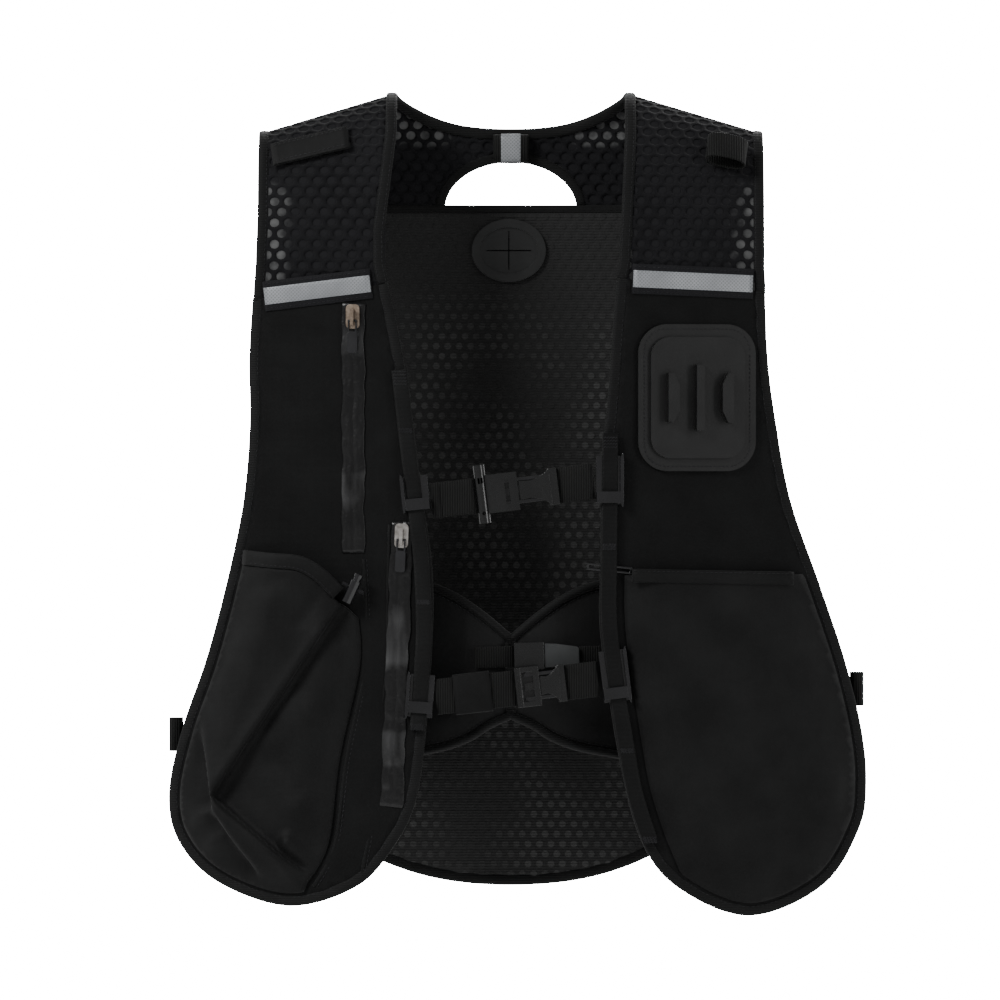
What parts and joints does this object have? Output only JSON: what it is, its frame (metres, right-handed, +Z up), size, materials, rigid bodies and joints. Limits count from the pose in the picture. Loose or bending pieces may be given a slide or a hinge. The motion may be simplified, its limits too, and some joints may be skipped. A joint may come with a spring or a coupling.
{
  "type": "safety harness vest",
  "caption": "Sleeveless running or cycling utility vest with reflective bands, chest straps, front pockets, lamp mount and a hose port.",
  "frame": {"origin": "top of the gap inside the hang loop at the middle of the back neckline, where a hook carries the vest", "axes": "+Z up, the front of the vest faces -Y, +X to the wearer's left"},
  "size_m": [0.4905, 0.1471, 0.5804],
  "materials": {
    "hex_mesh": "coarse hexagonal mesh, matt black",
    "spacer_mesh": "spacer mesh with fine cross ribs, matt black",
    "neoprene": "smooth stretch knit over thin foam, matt black",
    "shell_fabric": "plain woven nylon, matt black",
    "binding": "folded ribbed tape with a stitch line, black",
    "webbing": "ribbed nylon webbing, black",
    "rail_webbing": "smooth narrow webbing, black, slight sheen",
    "reflective": "silver retroreflective tape",
    "seam_tape": "flat black tape",
    "zip_film": "glossy laminated film",
    "zip_bronze": "worn antique bronze",
    "zip_silver": "worn nickel",
    "pull_tab": "satin black rubber on a wire ring",
    "moulded_plastic": "satin black acetal",
    "gloss_fitting": "glossy black acetal",
    "grey_plastic": "light grey acetal",
    "rubber": "satin black silicone rubber",
    "cord": "black elastic cord",
    "spring_steel": "plain spring wire"
  },
  "bodies": {
    "vest": {"back_panel": "spacer_mesh", "back_shell": "shell_fabric", "back_yoke": "hex_mesh", "back_binding": "binding", "neck_binding": "binding", "armhole_bindings": "binding", "right_yoke": "hex_mesh", "left_yoke": "hex_mesh", "right_front": "neoprene", "left_front": "neoprene", "right_front_binding": "binding", "left_front_binding": "binding", "seam_tapes": "seam_tape", "reflectors": "reflective", "hang_loop": "webbing", "port_grommet": "rubber", "chest_zip_tape": "zip_film", "edge_zip_tape": "zip_film", "bottle_pocket": "neoprene", "bottle_hem": "neoprene", "drawcord": "cord", "cord_lock": "gloss_fitting", "cord_lock_spring": "spring_steel", "left_pocket": "neoprene", "left_welt": "neoprene", "pocket_pull_loop": "gloss_fitting", "lamp_mount": "rubber", "right_rail": "rail_webbing", "left_rail": "rail_webbing", "right_wing": "neoprene", "left_wing": "neoprene", "wing_piping": "binding", "belt_webbing": "webbing", "belt_socket": "moulded_plastic", "belt_tail": "webbing", "shoulder_loop": "webbing", "side_straps": "webbing"},
    "chest_slider": {"chest_zip_slider": "zip_bronze"},
    "chest_pull": {"chest_zip_pull": "pull_tab"},
    "edge_slider": {"edge_zip_slider": "zip_silver"},
    "edge_pull": {"edge_zip_pull": "pull_tab"},
    "cord_lock_button": {"cord_lock_button": "gloss_fitting"},
    "upper_strap": {"upper_clips": "gloss_fitting", "upper_webbing": "webbing", "upper_socket": "moulded_plastic", "upper_tail": "webbing"},
    "upper_plug": {"upper_plug": "moulded_plastic"},
    "upper_prong_top": {"upper_prong_top": "moulded_plastic"},
    "upper_prong_bottom": {"upper_prong_bottom": "moulded_plastic"},
    "lower_strap": {"lower_clips": "gloss_fitting", "lower_webbing": "webbing", "lower_socket": "moulded_plastic", "lower_tail": "webbing"},
    "lower_keeper": {"lower_keeper": "neoprene"},
    "lower_plug": {"lower_plug": "moulded_plastic"},
    "lower_prong_top": {"lower_prong_top": "moulded_plastic"},
    "lower_prong_bottom": {"lower_prong_bottom": "moulded_plastic"},
    "belt_plug": {"belt_plug": "grey_plastic"},
    "shoulder_tab": {"shoulder_tab": "webbing"}
  },
  "joints": [
    {"name": "chest_zip_slide", "type": "slide", "parent": "vest", "child": "chest_slider", "axis": [0, 0, -1], "range_m": [0, 0.13]},
    {"name": "chest_pull_flip", "type": "hinge", "parent": "chest_slider", "child": "chest_pull", "pos_m": [-0.11115, -0.11476, -0.1335], "axis": [-0.9893, 0.1457, 0], "range_deg": [0, 150]},
    {"name": "edge_zip_slide", "type": "slide", "parent": "vest", "child": "edge_slider", "axis": [-0.0382, 0.0039, -0.9993], "range_m": [0, 0.155]},
    {"name": "edge_pull_flip", "type": "hinge", "parent": "edge_slider", "child": "edge_pull", "pos_m": [-0.07691, -0.11901, -0.287], "axis": [-0.9942, 0.1006, 0.0384], "range_deg": [0, 150]},
    {"name": "cord_lock_press", "type": "slide", "parent": "vest", "child": "cord_lock_button", "axis": [-0.4179, 0.0633, -0.9063], "range_m": [0, 0.002], "stiffness_N_per_m": 600, "springref_m": -0.004, "deforming": ["cord_lock_spring"]},
    {"name": "upper_strap_height", "type": "slide", "parent": "vest", "child": "upper_strap", "axis": [-0.0499, 0, 0.9988], "range_m": [-0.0055, 0.003]},
    {"name": "upper_buckle_release", "type": "slide", "parent": "upper_strap", "child": "upper_plug", "axis": [0.9925, 0, 0.1219], "range_m": [0, 0.016], "deforming": ["upper_tail", "upper_prong_top", "upper_prong_bottom"]},
    {"name": "upper_prong_press", "type": "hinge", "parent": "upper_plug", "child": "upper_prong_top", "pos_m": [0.02455, -0.11706, -0.24203], "axis": [0, -1, 0], "range_deg": [0, 4], "stiffness_Nm_per_rad": 0.3},
    {"name": "upper_prong_press_mate", "type": "hinge", "parent": "upper_plug", "child": "upper_prong_bottom", "pos_m": [0.02647, -0.11706, -0.25771], "axis": [0, 1, 0], "range_deg": [0, 4], "stiffness_Nm_per_rad": 0.3},
    {"name": "lower_strap_height", "type": "slide", "parent": "vest", "child": "lower_strap", "axis": [-0.0499, 0, 0.9988], "range_m": [0, 0.0085]},
    {"name": "lower_buckle_release", "type": "slide", "parent": "lower_strap", "child": "lower_plug", "axis": [0.9938, 0, 0.1115], "range_m": [0, 0.014], "deforming": ["lower_tail", "lower_prong_top", "lower_prong_bottom"]},
    {"name": "lower_prong_press", "type": "hinge", "parent": "lower_plug", "child": "lower_prong_top", "pos_m": [0.03096, -0.11706, -0.37907], "axis": [0, -1, 0], "range_deg": [0, 5], "stiffness_Nm_per_rad": 0.3},
    {"name": "lower_prong_press_mate", "type": "hinge", "parent": "lower_plug", "child": "lower_prong_bottom", "pos_m": [0.03284, -0.11706, -0.39577], "axis": [0, 1, 0], "range_deg": [0, 5], "stiffness_Nm_per_rad": 0.3},
    {"name": "lower_keeper_slide", "type": "slide", "parent": "lower_strap", "child": "lower_keeper", "axis": [0.9938, 0, 0.1115], "range_m": [-0.008, 0.012]},
    {"name": "belt_buckle_release", "type": "slide", "parent": "vest", "child": "belt_plug", "axis": [0.9994, 0, 0.0349], "range_m": [0, 0.0115], "deforming": ["belt_tail"]},
    {"name": "shoulder_tab_lift", "type": "hinge", "parent": "vest", "child": "shoulder_tab", "pos_m": [-0.16787, -0.08404, -0.01588], "axis": [-0.1166, 0.5852, 0.8025], "range_deg": [-110, 0]}
  ],
  "couplings": [
    {"joint": "upper_prong_press_mate", "follows": "upper_prong_press", "ratio": 1},
    {"joint": "lower_prong_press_mate", "follows": "lower_prong_press", "ratio": 1}
  ]
}
